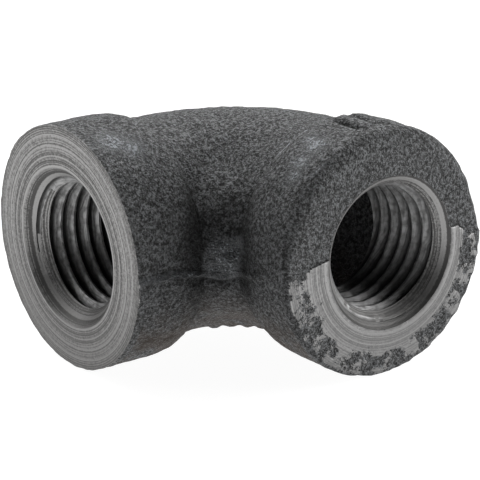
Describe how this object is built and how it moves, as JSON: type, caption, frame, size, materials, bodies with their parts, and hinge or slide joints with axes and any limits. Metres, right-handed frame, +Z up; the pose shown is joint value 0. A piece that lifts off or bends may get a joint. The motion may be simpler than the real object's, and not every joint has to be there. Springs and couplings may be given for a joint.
{
  "type": "pipe elbow",
  "caption": "Small 90 degree cast iron pipe elbow with two thick collared sockets, each with a female taper pipe thread.",
  "frame": {"origin": "bottom centre of the bounding box; the two bore axes cross at (4.57, 4.57, 11.43) mm", "axes": "+Z up, square to the plane of the two bore axes; the west socket opens towards -X and the south socket towards -Y"},
  "size_m": [0.032, 0.032, 0.0231],
  "materials": {
    "black_iron": "rough sand-cast black iron, bare grey where the end faces and threads are machined"
  },
  "bodies": {
    "root": {"elbow_casting": "black_iron"}
  },
  "joints": []
}
